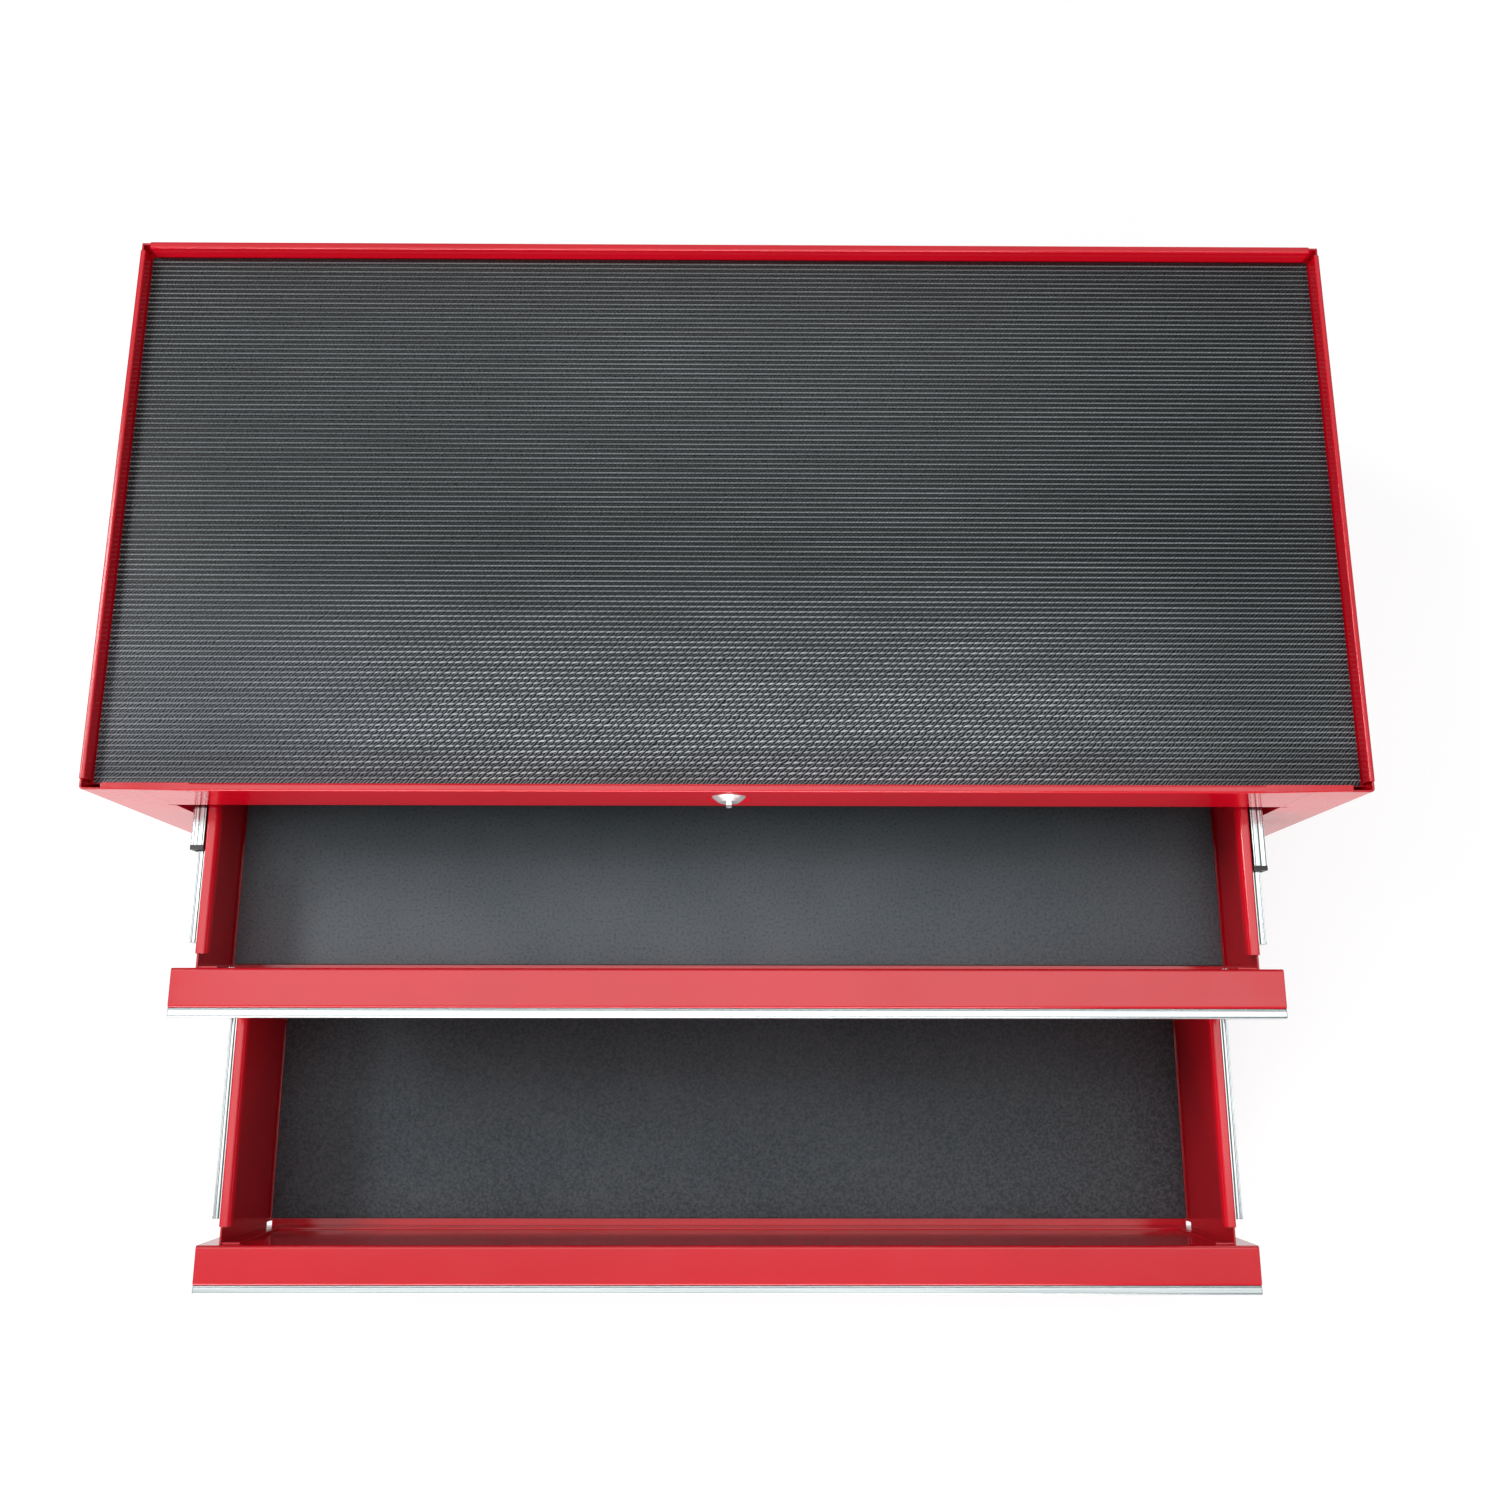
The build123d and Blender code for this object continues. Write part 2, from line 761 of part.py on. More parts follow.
def pull_trim(face_y, ledge_z):
    """Aluminium extrusion clipped over the ledge's lip, along the whole front."""
    lip_front = face_y - ledge_depth
    lip_back = lip_front + sheet
    nose = lip_front - trim_reach
    trim_top = ledge_z - trim_top_drop
    trim_bottom = ledge_z - trim_height
    hook_back = lip_back + trim_wall
    body = along_x(
        [
            (lip_front, ledge_z - ledge_lip),
            (lip_front, trim_top),
            (nose, trim_top, trim_radius),
            (nose, trim_bottom, trim_radius),
            (hook_back, trim_bottom),
            (hook_back, trim_bottom + trim_hook),
            (lip_back, trim_bottom + trim_hook),
            (lip_back, ledge_z - ledge_lip),
        ],
        (-front_half, front_half),
    )
    hollow = block(
        (-front_half - 1, front_half + 1),
        (nose + trim_wall, lip_front - trim_wall),
        (trim_bottom + 2 * trim_wall, trim_top - trim_wall),
    )
    groove_y = lip_front - trim_wall / 2
    groove = block(
        (-front_half - 1, front_half + 1),
        (groove_y - trim_groove / 2, groove_y + trim_groove / 2),
        (trim_top - trim_groove, trim_top + 1),
    )
    return body - hollow - groove


def drawer_liner(face_y, floor_z):
    """Foam sheet on the drawer floor."""
    side = box_half - sheet - liner_side_gap
    return block(
        (-side, side),
        (face_y + sheet + liner_front_gap, face_y + box_length - sheet - liner_back_gap),
        (floor_z, floor_z + liner_thickness),
    )


def drawer_rivets(rivet_ys, centre_z):
    """Rivets through the drawer wall and the drawer member, with domed heads inside the drawer."""
    rivets = []
    wall = box_half - sheet
    dome_radius = (dome_head_radius**2 + dome_head_height**2) / (2 * dome_head_height)
    for y in rivet_ys:
        shank = rod_x(rivet_radius, (wall, box_half + slide_sheet), y, centre_z)
        ball = Pos(wall - dome_head_height + dome_radius, y, centre_z) * Sphere(dome_radius)
        head = ball & rod_x(dome_radius, (wall - dome_head_height, wall), y, centre_z)
        rivets.append(shank + head)
    return rivets + [flip(rivet) for rivet in rivets]


def drill_for_rivets(box, rivet_ys, centre_z):
    """Rivet holes in both drawer walls."""
    for y in rivet_ys:
        hole = rod_x(rivet_radius, (box_half - 2 * sheet, box_half + sheet), y, centre_z)
        box = box - hole - flip(hole)
    return box


def catch_underside(hem_top):
    """Height of the underside of a drawer's lock catch arm."""
    return hem_top - back_wall_drop - catch_below_back


def lock_catch(face_y, hem_top):
    """Bracket on the drawer's back with a lip that the lock bar's hook holds."""
    rear = face_y + box_length
    under = catch_underside(hem_top)
    half = (-catch_half_width, catch_half_width)
    corners = [
        (rear, under + catch_sheet),
        (rear + catch_arm, under + catch_sheet, catch_sheet),
        (rear + catch_arm, under - catch_lip),
        (rear + catch_arm - catch_sheet, under - catch_lip),
        (rear + catch_arm - catch_sheet, under),
        (rear + catch_sheet, under),
        (rear + catch_sheet, under - catch_lip),
        (rear, under - catch_lip),
    ]
    return along_x(corners, half)


def build_drawer(name, out, ledge_z, bottom_z, skirt, hem_setback, middle_setbacks):
    """Write one drawer with both of its slides."""
    face_y = front - out
    floor_z = bottom_z + skirt + sheet
    hem_top = ledge_z - hem_below_ledge
    centre_z = slide_centre(ledge_z)
    rivet_ys = [face_y + front_rivet_setback, face_y + rear_rivet_setback]
    box = drill_for_rivets(drawer_box(face_y, floor_z, hem_top, hem_setback), rivet_ys, centre_z)
    save(name + "_drawer_box", [box])
    save(name + "_drawer_back", [drawer_back(face_y, floor_z, hem_top)])
    save(name + "_drawer_front", [drawer_front(face_y, ledge_z, bottom_z)])
    save(name + "_drawer_trim", [pull_trim(face_y, ledge_z)])
    save(name + "_drawer_liner", [drawer_liner(face_y, floor_z)])
    save(name + "_drawer_rivets", drawer_rivets(rivet_ys, centre_z))
    save(name + "_drawer_catch", [lock_catch(face_y, hem_top)])

    fixed = cabinet_member(centre_z)
    moving = drawer_member(face_y + member_setback, centre_z, rivet_ys)
    outer = outer_cage(out, centre_z)
    inner = inner_cage(out, centre_z)
    for hand, setback in zip(("left", "right"), middle_setbacks):
        middle_front = front + setback - out / 2
        pieces = {
            "slide_cabinet_member": [fixed],
            "slide_middle_member": [middle_member(middle_front, centre_z)],
            "slide_bumper": [slide_bumper(middle_front, centre_z)],
            "slide_drawer_member": [moving],
            "slide_outer_cage": outer,
            "slide_inner_cage": inner,
        }
        for piece, solids in pieces.items():
            if hand == "left":
                solids = [flip(solid) for solid in solids]
            save(name + "_" + hand + "_" + piece, solids)
    return hem_top, mount_rivets(centre_z)


# Lock

horseshoe_front = front + dish_depth
barrel_end = front + barrel_length


def lock_body():
    """Barrel with its domed bezel, bored for the plug and grooved for the horseshoe plate."""
    seat = front - sheet + dish_depth
    nose = front - bezel_height
    bore = plug_radius + plug_clearance
    profile = [
        (bore, nose),
        (bore + bezel_rim, nose),
        (bezel_shoulder_radius, front - bezel_shoulder_height),
        (bezel_radius, seat - bezel_rim),
        (bezel_radius, seat),
        (barrel_radius, seat),
        (barrel_radius, barrel_end),
        (bore, barrel_end),
    ]
    section = outline_face(profile, lambda p: (p.X, p.Y, lock_z))
    body = revolve(section, axis=Axis((0, 0, lock_z), (0, 1, 0)))
    groove = block(
        (barrel_radius - horseshoe_groove, barrel_radius + 1),
        (horseshoe_front, horseshoe_front + horseshoe_thickness),
        (lock_z - barrel_radius, lock_z + barrel_radius),
    )
    return body - groove - flip(groove)


def lock_horseshoe():
    """Plate pushed up over the barrel's grooves, holding the lock against the dish."""
    reach = barrel_radius - horseshoe_groove
    low = lock_z - barrel_radius - horseshoe_drop
    high = lock_z + barrel_radius / 2
    return along_y(
        [
            (-horseshoe_half_width, high),
            (-reach, high),
            (-reach, lock_z - barrel_radius),
            (reach, lock_z - barrel_radius),
            (reach, high),
            (horseshoe_half_width, high),
            (horseshoe_half_width, low + 2 * horseshoe_drop, horseshoe_drop),
            (horseshoe_half_width / 2, low),
            (-horseshoe_half_width / 2, low),
            (-horseshoe_half_width, low + 2 * horseshoe_drop, horseshoe_drop),
        ],
        (horseshoe_front, horseshoe_front + horseshoe_thickness),
    )


plug_end = barrel_end + plug_tail


def lock_plug():
    """Key plug with its raised keyway, a clip groove and a socket for the rod."""
    nose = front - bezel_height
    plug = rod_y(plug_radius, 0, (nose, plug_end), lock_z)
    plug += block(
        (-plug_rib_width / 2, plug_rib_width / 2),
        (nose - plug_rib_reach, nose),
        (lock_z - plug_rib_height / 2, lock_z + plug_rib_height / 2),
    )
    plug -= block(
        (-key_slot_width / 2, key_slot_width / 2),
        (nose - plug_rib_reach - 1, nose + key_slot_depth),
        (lock_z - key_slot_height / 2, lock_z + key_slot_height / 2),
    )
    groove_start = barrel_end + clip_clearance
    groove = rod_y(plug_radius + 1, 0, (groove_start, groove_start + clip_thickness), lock_z)
    groove -= rod_y(plug_radius - clip_groove, 0, (groove_start, groove_start + clip_thickness), lock_z)
    socket = rod_y(rod_radius, 0, (plug_end - rod_bite, plug_end + 1), lock_z)
    return plug - groove - socket


def lock_clip():
    """Snap ring in the plug's groove, open at one side."""
    near = barrel_end + clip_clearance
    span = (near, near + clip_thickness)
    ring = rod_y(barrel_radius, 0, span, lock_z)
    ring -= rod_y(plug_radius - clip_groove, 0, (near - 1, near + clip_thickness + 1), lock_z)
    gap = block((-barrel_radius / 2, barrel_radius / 2), span, (lock_z - 2 * barrel_radius, lock_z))
    return ring - gap


bar_back = back_inner - bar_clearance
bar_front = bar_back - bar_thickness
crank_back = bar_front - bar_clearance
pin_x = crank_radius * math.cos(math.radians(crank_unlocked_angle))
pin_z = lock_z + crank_radius * math.sin(math.radians(crank_unlocked_angle))


def lock_rod():
    """Rod from the plug to the back, ending in a crank with a pin."""
    crank_front = crank_back - crank_sheet
    rod = rod_y(rod_radius, 0, (plug_end - rod_bite, crank_back), lock_z)
    crank = Pos(0, crank_front, lock_z) * Rot(-90, 0, 0) * Rot(0, 0, -crank_unlocked_angle) * extrude(
        Pos(crank_radius / 2, 0) * SlotCenterToCenter(crank_radius, 2 * rod_radius + sheet),
        amount=crank_sheet,
    )
    pin = rod_y(crank_pin_radius, pin_x, (crank_back, bar_back), pin_z)
    return rod + crank + pin


def lock_bar(hem_tops):
    """Flat bar at the back with a slot for the crank pin and a hook for each drawer."""
    plate_span = (bar_front, bar_back)
    bar_top = pin_z + crank_pin_radius + slot_clearance + slot_wall
    lowest = catch_underside(hem_tops[-1]) - catch_lip - hook_free_gap - hook_tip - 2 * bar_thickness
    plate = block((-bar_half_width, bar_half_width), plate_span, (lowest, bar_top))
    slot_high = crank_pin_radius + slot_clearance
    swing = crank_radius - pin_x
    slot = block(
        (pin_x - slot_high, pin_x + swing + slot_high),
        (bar_front - 1, bar_back + 1),
        (pin_z - slot_high, pin_z + slot_high),
    )
    plate -= slot
    tip_back = front + box_length + catch_arm - catch_sheet - hook_play
    half = (-hook_width / 2, hook_width / 2)
    for hem_top in hem_tops:
        tip_top = catch_underside(hem_top) - catch_lip - hook_free_gap
        arm_top = tip_top - hook_tip
        plate += block(half, (tip_back - bar_thickness, bar_front), (arm_top - bar_thickness, arm_top))
        plate += block(half, (tip_back - bar_thickness, tip_back), (arm_top - bar_thickness, tip_top))
    return plate


def bar_guide(middle_z):
    """Strap over the lock bar, with a foot on the back panel at each side."""
    inner = bar_half_width + bar_clearance
    outer = inner + sheet
    strap_back = bar_front - bar_clearance
    corners = [
        (-outer - weld_flange, back_inner),
        (-outer - weld_flange, back_inner - sheet),
        (-outer, back_inner - sheet),
        (-outer, strap_back - sheet),
        (outer, strap_back - sheet),
        (outer, back_inner - sheet),
        (outer + weld_flange, back_inner - sheet),
        (outer + weld_flange, back_inner),
        (inner, back_inner),
        (inner, strap_back),
        (-inner, strap_back),
        (-inner, back_inner),
    ]
    return along_z(corners, (middle_z - weld_flange / 2, middle_z + weld_flange / 2))


def rod_bracket():
    """Bracket under the tray that carries the rod near the back."""
    near = back - rod_bracket_from_back
    half = (-weld_flange, weld_flange)
    drop = lock_z - 2 * rod_radius - weld_flange / 2
    plate = block(half, (near, near + catch_sheet), (drop, tray_underside))
    foot = block(half, (near - weld_flange, near), (tray_underside - catch_sheet, tray_underside))
    hole = rod_y(rod_radius + hole_clearance, 0, (near - 1, near + catch_sheet + 1), lock_z)
    return plate + foot - hole


# Write every node

save_pair("side_panel", side_panel())
save("back_panel", [back_panel()])
save("bottom_panel", [bottom_panel()])
save("front_header", [front_header()])
save("tray_panel", [tray_panel()])
save("tray_mat", [tray_mat()])
save_pair("front_upright", slide_upright(front_upright_setback))
save_pair("rear_upright", slide_upright(rear_upright_setback))

upper_hem_top, upper_mount_rivets = build_drawer(
    "upper",
    upper_out,
    upper_ledge,
    upper_bottom,
    upper_skirt,
    upper_hem_setback,
    (upper_left_setback, upper_right_setback),
)
lower_hem_top, lower_mount_rivets = build_drawer(
    "lower",
    lower_out,
    lower_ledge,
    lower_bottom,
    lower_skirt,
    lower_hem_setback,
    (lower_setback, lower_setback),
)
save("slide_mount_rivets", upper_mount_rivets + lower_mount_rivets)

save("lock_body", [lock_body()])
save("lock_horseshoe", [lock_horseshoe()])
save("lock_plug", [lock_plug()])
save("lock_clip", [lock_clip()])
save("lock_rod", [lock_rod()])
save("lock_rod_bracket", [rod_bracket()])
save("lock_bar", [lock_bar([upper_hem_top, lower_hem_top])])
upper_catch = catch_underside(upper_hem_top)
save("lock_bar_guides", [bar_guide(upper_catch - drop) for drop in (upper_guide_drop, lower_guide_drop)])
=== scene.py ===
"""Looks of the two-drawer tool chest: materials, the ribbed mat, the foam liners, the studio and the camera.

Lengths are in metres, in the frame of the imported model: +Z up, +X to the right seen from the front, and the
front faces -Y.
"""

import json
import math

import bmesh
import bpy
from mathutils import Matrix, Vector

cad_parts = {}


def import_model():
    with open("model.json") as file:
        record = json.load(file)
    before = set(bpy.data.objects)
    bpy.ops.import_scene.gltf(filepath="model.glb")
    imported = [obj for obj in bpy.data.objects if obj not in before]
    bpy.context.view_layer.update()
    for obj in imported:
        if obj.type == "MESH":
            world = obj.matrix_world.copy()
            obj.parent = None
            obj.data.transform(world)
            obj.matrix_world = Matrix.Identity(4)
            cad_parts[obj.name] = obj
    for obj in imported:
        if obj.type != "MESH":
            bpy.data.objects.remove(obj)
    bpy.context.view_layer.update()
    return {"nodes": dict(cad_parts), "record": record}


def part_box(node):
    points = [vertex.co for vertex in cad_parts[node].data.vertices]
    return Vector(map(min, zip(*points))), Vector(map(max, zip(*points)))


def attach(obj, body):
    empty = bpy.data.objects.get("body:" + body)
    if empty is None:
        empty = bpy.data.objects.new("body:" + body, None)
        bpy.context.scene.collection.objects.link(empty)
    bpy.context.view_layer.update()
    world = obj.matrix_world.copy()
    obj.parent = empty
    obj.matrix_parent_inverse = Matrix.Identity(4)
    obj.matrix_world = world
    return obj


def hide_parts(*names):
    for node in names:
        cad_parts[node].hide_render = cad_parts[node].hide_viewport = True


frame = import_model()

MM = 0.001


# Node helpers


class Shader:
    """A material's node tree with one Principled shader, and short calls for the nodes it needs."""

    def __init__(self, name):
        self.material = bpy.data.materials.new(name)
        self.material.use_nodes = True
        self.tree = self.material.node_tree
        self.principled = self.tree.nodes["Principled BSDF"]
        self.place = self.tree.nodes.new("ShaderNodeTexCoord").outputs["Object"]

    def node(self, kind, **inputs):
        made = self.tree.nodes.new(kind)
        for key, value in inputs.items():
            self.feed(made.inputs[key.replace("_", " ")], value)
        return made

    def feed(self, socket, value):
        if isinstance(value, bpy.types.NodeSocket):
            self.tree.links.new(value, socket)
        else:
            socket.default_value = value

    def set(self, **values):
        for key, value in values.items():
            self.feed(self.principled.inputs[key.replace("_", " ")], value)

    def scaled(self, x, y, z):
        """The object's coordinates, stretched by a factor for each axis."""
        mapping = self.node("ShaderNodeMapping", Vector=self.place)
        mapping.inputs["Scale"].default_value = (x, y, z)
        return mapping.outputs["Vector"]

    def noise(self, scale, detail=2.0, roughness=0.5, at=None):
        """Noise from 0 to 1. scale is in features for each metre."""
        vector = self.place if at is None else at
        made = self.node("ShaderNodeTexNoise", Vector=vector, Scale=scale, Detail=detail, Roughness=roughness)
        return made.outputs["Fac"]

    def ramp(self, value, low, high, to_low=0.0, to_high=1.0):
        """value from low..high mapped to to_low..to_high, clamped."""
        made = self.node("ShaderNodeMapRange", Value=value)
        made.interpolation_type = "SMOOTHSTEP"
        made.inputs["From Min"].default_value = low
        made.inputs["From Max"].default_value = high
        made.inputs["To Min"].default_value = to_low
        made.inputs["To Max"].default_value = to_high
        return made.outputs["Result"]

    def math(self, operation, first, second=0.0):
        made = self.tree.nodes.new("ShaderNodeMath")
        made.operation = operation
        self.feed(made.inputs[0], first)
        self.feed(made.inputs[1], second)
        return made.outputs[0]

    def mix(self, factor, first, second):
        """Colour mix of two colours or sockets."""
        made = self.tree.nodes.new("ShaderNodeMix")
        made.data_type = "RGBA"
        self.feed(made.inputs["Factor"], factor)
        # The node has sockets A, B and Result for each kind of value: these are the colours
        self.feed(made.inputs[6], first)
        self.feed(made.inputs[7], second)
        return made.outputs[2]

    def axes(self):
        parts = self.node("ShaderNodeSeparateXYZ", Vector=self.place)
        return parts.outputs["X"], parts.outputs["Y"], parts.outputs["Z"]

    def bump(self, height, depth, under=None):
        """Normal bent by a height from 0 to 1 that stands for depth in metres."""
        made = self.node("ShaderNodeBump", Height=height, Distance=depth, Strength=1.0)
        if under is not None:
            self.feed(made.inputs["Normal"], under)
        return made.outputs["Normal"]

    def rounded_edges(self, radius):
        made = self.node("ShaderNodeBevel", Radius=radius)
        made.samples = 6
        return made.outputs["Normal"]

    def edge(self, rounded):
        """1 on folds and cut edges, 0 on flat faces. rounded is a normal from rounded_edges."""
        flat = self.tree.nodes.new("ShaderNodeNewGeometry").outputs["True Normal"]
        made = self.tree.nodes.new("ShaderNodeVectorMath")
        made.operation = "DOT_PRODUCT"
        self.feed(made.inputs[0], rounded)
        self.feed(made.inputs[1], flat)
        return self.ramp(made.outputs["Value"], 0.75, 0.99, 1, 0)


def rgb(red, green, blue):
    """sRGB from 0 to 255 as a linear colour."""
    parts = [value / 255 for value in (red, green, blue)]
    linear = [part / 12.92 if part <= 0.04045 else ((part + 0.055) / 1.055) ** 2.4 for part in parts]
    return (*linear, 1.0)


# Materials


def red_paint():
    """Glossy powder coat: faint orange peel, slightly uneven gloss, and folds rounded, with painted shade
    darkening the folds and cut edges.
    """
    s = Shader("red_paint")
    rounded = s.rounded_edges(0.5 * MM)
    cloud = s.ramp(s.noise(9, detail=3), 0.35, 0.65)
    coat = s.mix(cloud, rgb(206, 5, 29), rgb(213, 7, 33))
    # Painted shade: the folds and cut edges are darkened towards a deep red.
    s.set(Base_Color=s.mix(s.math("MULTIPLY", s.edge(rounded), 0.6), coat, rgb(96, 0, 12)))
    smears = s.ramp(s.noise(28, detail=4, roughness=0.6), 0.45, 0.75, 0.13, 0.2)
    s.set(Roughness=smears, IOR=1.52)
    peel = s.bump(s.noise(900, detail=1), 0.012 * MM, under=rounded)
    s.set(Normal=s.bump(s.noise(160, detail=1), 0.03 * MM, under=peel))
    return s.material


# Painted shade lines along the creases rolled along the slides: distance from the chest's middle, half width,
# colour
SLIDE_CREASE_SHADE = (
    (284.4 * MM, 0.28 * MM, rgb(66, 72, 74)),
    (287.1 * MM, 0.3 * MM, rgb(120, 127, 130)),
    (286.2 * MM, 0.5 * MM, rgb(170, 181, 181)),
)


def zinc_steel():
    """Bright zinc plate with fine draw lines along the slides and a faint spangle, with painted shade lines
    at the slides' creases and painted shade darkening the edges.
    """
    s = Shader("zinc_steel")
    rounded = s.rounded_edges(0.35 * MM)
    cloud = s.ramp(s.noise(60, detail=3), 0.3, 0.7)
    plate = s.mix(cloud, rgb(192, 199, 200), rgb(206, 212, 213))
    lines = s.noise(1.0, detail=2, at=s.scaled(3000, 30, 3000))
    streaked = s.mix(s.ramp(lines, 0.35, 0.75, 0, 0.35), plate, rgb(142, 152, 154))
    side = s.math("ABSOLUTE", s.axes()[0])
    # Painted shade: grey lines along the creases of the slides.
    crease_shaded = streaked
    for place, half, grey in SLIDE_CREASE_SHADE:
        away = s.math("ABSOLUTE", s.math("SUBTRACT", side, place))
        crease_shaded = s.mix(s.ramp(away, 0.6 * half, half, 1, 0), crease_shaded, grey)
    # Painted shade: the edges are darkened to grey.
    s.set(Base_Color=s.mix(s.edge(rounded), crease_shaded, rgb(60, 66, 68)))
    s.set(Metallic=1.0, Roughness=s.ramp(lines, 0.3, 0.7, 0.14, 0.24))
    s.set(Normal=s.bump(lines, 0.006 * MM, under=rounded))
    return s.material


def bright_aluminium():
    """Anodised extrusion with fine die lines along its length, and painted shade darkening its edges."""
    s = Shader("bright_aluminium")
    rounded = s.rounded_edges(0.7 * MM)
    lines = s.noise(1.0, detail=3, at=s.scaled(12, 2600, 2600))
    metal = s.mix(lines, rgb(184, 192, 193), rgb(204, 211, 212))
    # Painted shade: the edges are darkened to dark grey.
    s.set(Base_Color=s.mix(s.edge(rounded), metal, rgb(40, 45, 48)))
    s.set(Metallic=1.0, Roughness=s.ramp(lines, 0.3, 0.7, 0.18, 0.3))
    s.set(Normal=s.bump(lines, 0.008 * MM, under=rounded))
    return s.material


def lock_chrome():
    """Polished chrome with a few faint wipe marks."""
    s = Shader("lock_chrome")
    wipes = s.noise(1.0, detail=4, at=s.scaled(900, 200, 2400))
    s.set(Base_Color=s.mix(wipes, rgb(224, 226, 228), rgb(240, 241, 242)), Metallic=0.5)
    s.set(Roughness=s.ramp(wipes, 0.4, 0.8, 0.16, 0.3), Normal=s.rounded_edges(0.25 * MM))
    return s.material


def plain_steel():
    """Plain plated steel of the hidden lock parts, slightly dull and cloudy."""
    s = Shader("plain_steel")
    cloud = s.noise(140, detail=4)
    s.set(Base_Color=s.mix(cloud, rgb(150, 150, 147), rgb(186, 187, 186)), Metallic=1.0)
    s.set(Roughness=s.ramp(cloud, 0.3, 0.7, 0.25, 0.42), Normal=s.rounded_edges(0.25 * MM))
    return s.material


def black_plastic():
    """Moulded plastic with a fine spark-eroded grain."""
    s = Shader("black_plastic")
    grain = s.noise(2600, detail=2)
    s.set(Base_Color=s.mix(grain, rgb(24, 25, 27), rgb(34, 35, 37)), Roughness=s.ramp(grain, 0, 1, 0.35, 0.5))
    s.set(Normal=s.bump(grain, 0.02 * MM, under=s.rounded_edges(0.25 * MM)))
    return s.material


def liner_foam():
    """Matt charcoal foam: fine grain, slow mottling and a few faint scuffs, with painted shade: the lower
    drawer's liner darker than the upper one's, and both darker towards the right.
    """
    s = Shader("liner_foam")
    grain = s.noise(650, detail=3, roughness=0.6)
    mottle = s.ramp(s.noise(14, detail=4), 0.3, 0.7)
    x, _, z = s.axes()
    # Painted light and shade: the upper drawer's liner is painted lighter than the lower one's.
    upper_shelf_lit = s.ramp(z, 0.05, 0.1)
    lower = s.mix(mottle, rgb(56, 69, 74), rgb(66, 79, 83))
    upper = s.mix(mottle, rgb(90, 107, 112), rgb(100, 116, 121))
    # Painted shade: darker towards the right side.
    base = s.mix(s.ramp(x, 0.05, 0.28, 0, 0.35), s.mix(upper_shelf_lit, lower, upper), rgb(34, 36, 40))
    speck = s.ramp(grain, 0.35, 0.75)
    pored = s.mix(s.ramp(grain, 0.3, 0.5, 0.35, 0), base, rgb(22, 26, 28))
    dusty = s.mix(s.math("MULTIPLY", speck, 0.4), pored, rgb(118, 128, 134))
    stroke = s.ramp(s.noise(1.0, detail=2, at=s.scaled(160, 9, 60)), 0.72, 0.8)
    s.set(Base_Color=s.mix(s.math("MULTIPLY", stroke, 0.25), dusty, rgb(96, 98, 101)))
    s.set(Roughness=s.ramp(grain, 0.2, 0.8, 0.62, 0.82), Specular_IOR_Level=0.35)
    s.set(Normal=s.bump(grain, 0.2 * MM))
    return s.material


MAT_ROW = 2.83 * MM             # from one rib of the mat to the next
MAT_DASH = 2.04 * MM            # from one slanted dash to the next, along a rib
MAT_DASH_RISE = 1.95 * MM       # the same along Y, which gives the dashes their slant
MAT_LENS_SLANT = 0.9            # how many dashes a pale dash leans over from one row to the next
MAT_FACE_DROP = 0.5 * MM        # the mat's face lies this far under the ribs' crests
MAT_EDGE = 0.3 * MM             # kept clear of ribs along the mat's front and back


def rib_count():
    low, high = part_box("tray_mat")
    return int((high.y - low.y - 2 * MAT_EDGE) / MAT_ROW)


def first_rib():
    """Y of the front rib's middle. The ribs are centred on the mat."""
    low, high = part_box("tray_mat")
    return (low.y + high.y - (rib_count() - 1) * MAT_ROW) / 2


def mat_waves(s, x, y):
    """Two slanted waves along the ribs, from -1 to 1: one turn for each dash, and half a turn for each."""
    even = s.math("SUBTRACT", s.math("MULTIPLY", x, 1 / MAT_DASH), s.math("MULTIPLY", y, 1 / MAT_DASH_RISE))
    turn = s.math("ADD", even, s.ramp(s.noise(220, detail=1), 0.25, 0.75, -0.3, 0.3))
    row_turn = s.math("MULTIPLY", s.math("SUBTRACT", y, first_rib()), 1 / MAT_ROW)
    across = s.math("SUBTRACT", row_turn, s.math("ROUND", row_turn))
    leaning = s.math("SUBTRACT", turn, s.math("MULTIPLY", across, MAT_LENS_SLANT))
    wave = s.math("SINE", s.math("MULTIPLY", turn, math.tau))
    slow_wave = s.math("SINE", s.math("MULTIPLY", leaning, math.pi))
    return wave, slow_wave


def mat_colours(s, x, y, front_part, dashed):
    """The pale colour of the painted highlights on the crests and the deep colour of the rest of the mat,
    with a painted sheen at the front left and painted shade towards the back.
    """
    slow = s.ramp(s.noise(5, detail=3), 0.3, 0.7)
    # Painted sheen at the front left of the mat.
    front_left_sheen = s.math("MULTIPLY", front_part, s.ramp(x, -0.12, -0.24))
    # Painted shade towards the back: the pale lines and the deep colour turn darker there.
    back_shade = s.ramp(y, 0.08, 0.22)
    plain_line = s.mix(back_shade, s.mix(slow, rgb(128, 136, 140), rgb(146, 154, 158)), rgb(108, 117, 122))
    pale = s.mix(dashed, plain_line, rgb(222, 228, 234))
    middle = s.mix(back_shade, s.mix(dashed, rgb(24, 30, 32), rgb(42, 47, 50)), rgb(12, 16, 18))
    return pale, s.mix(front_left_sheen, middle, rgb(66, 70, 78))


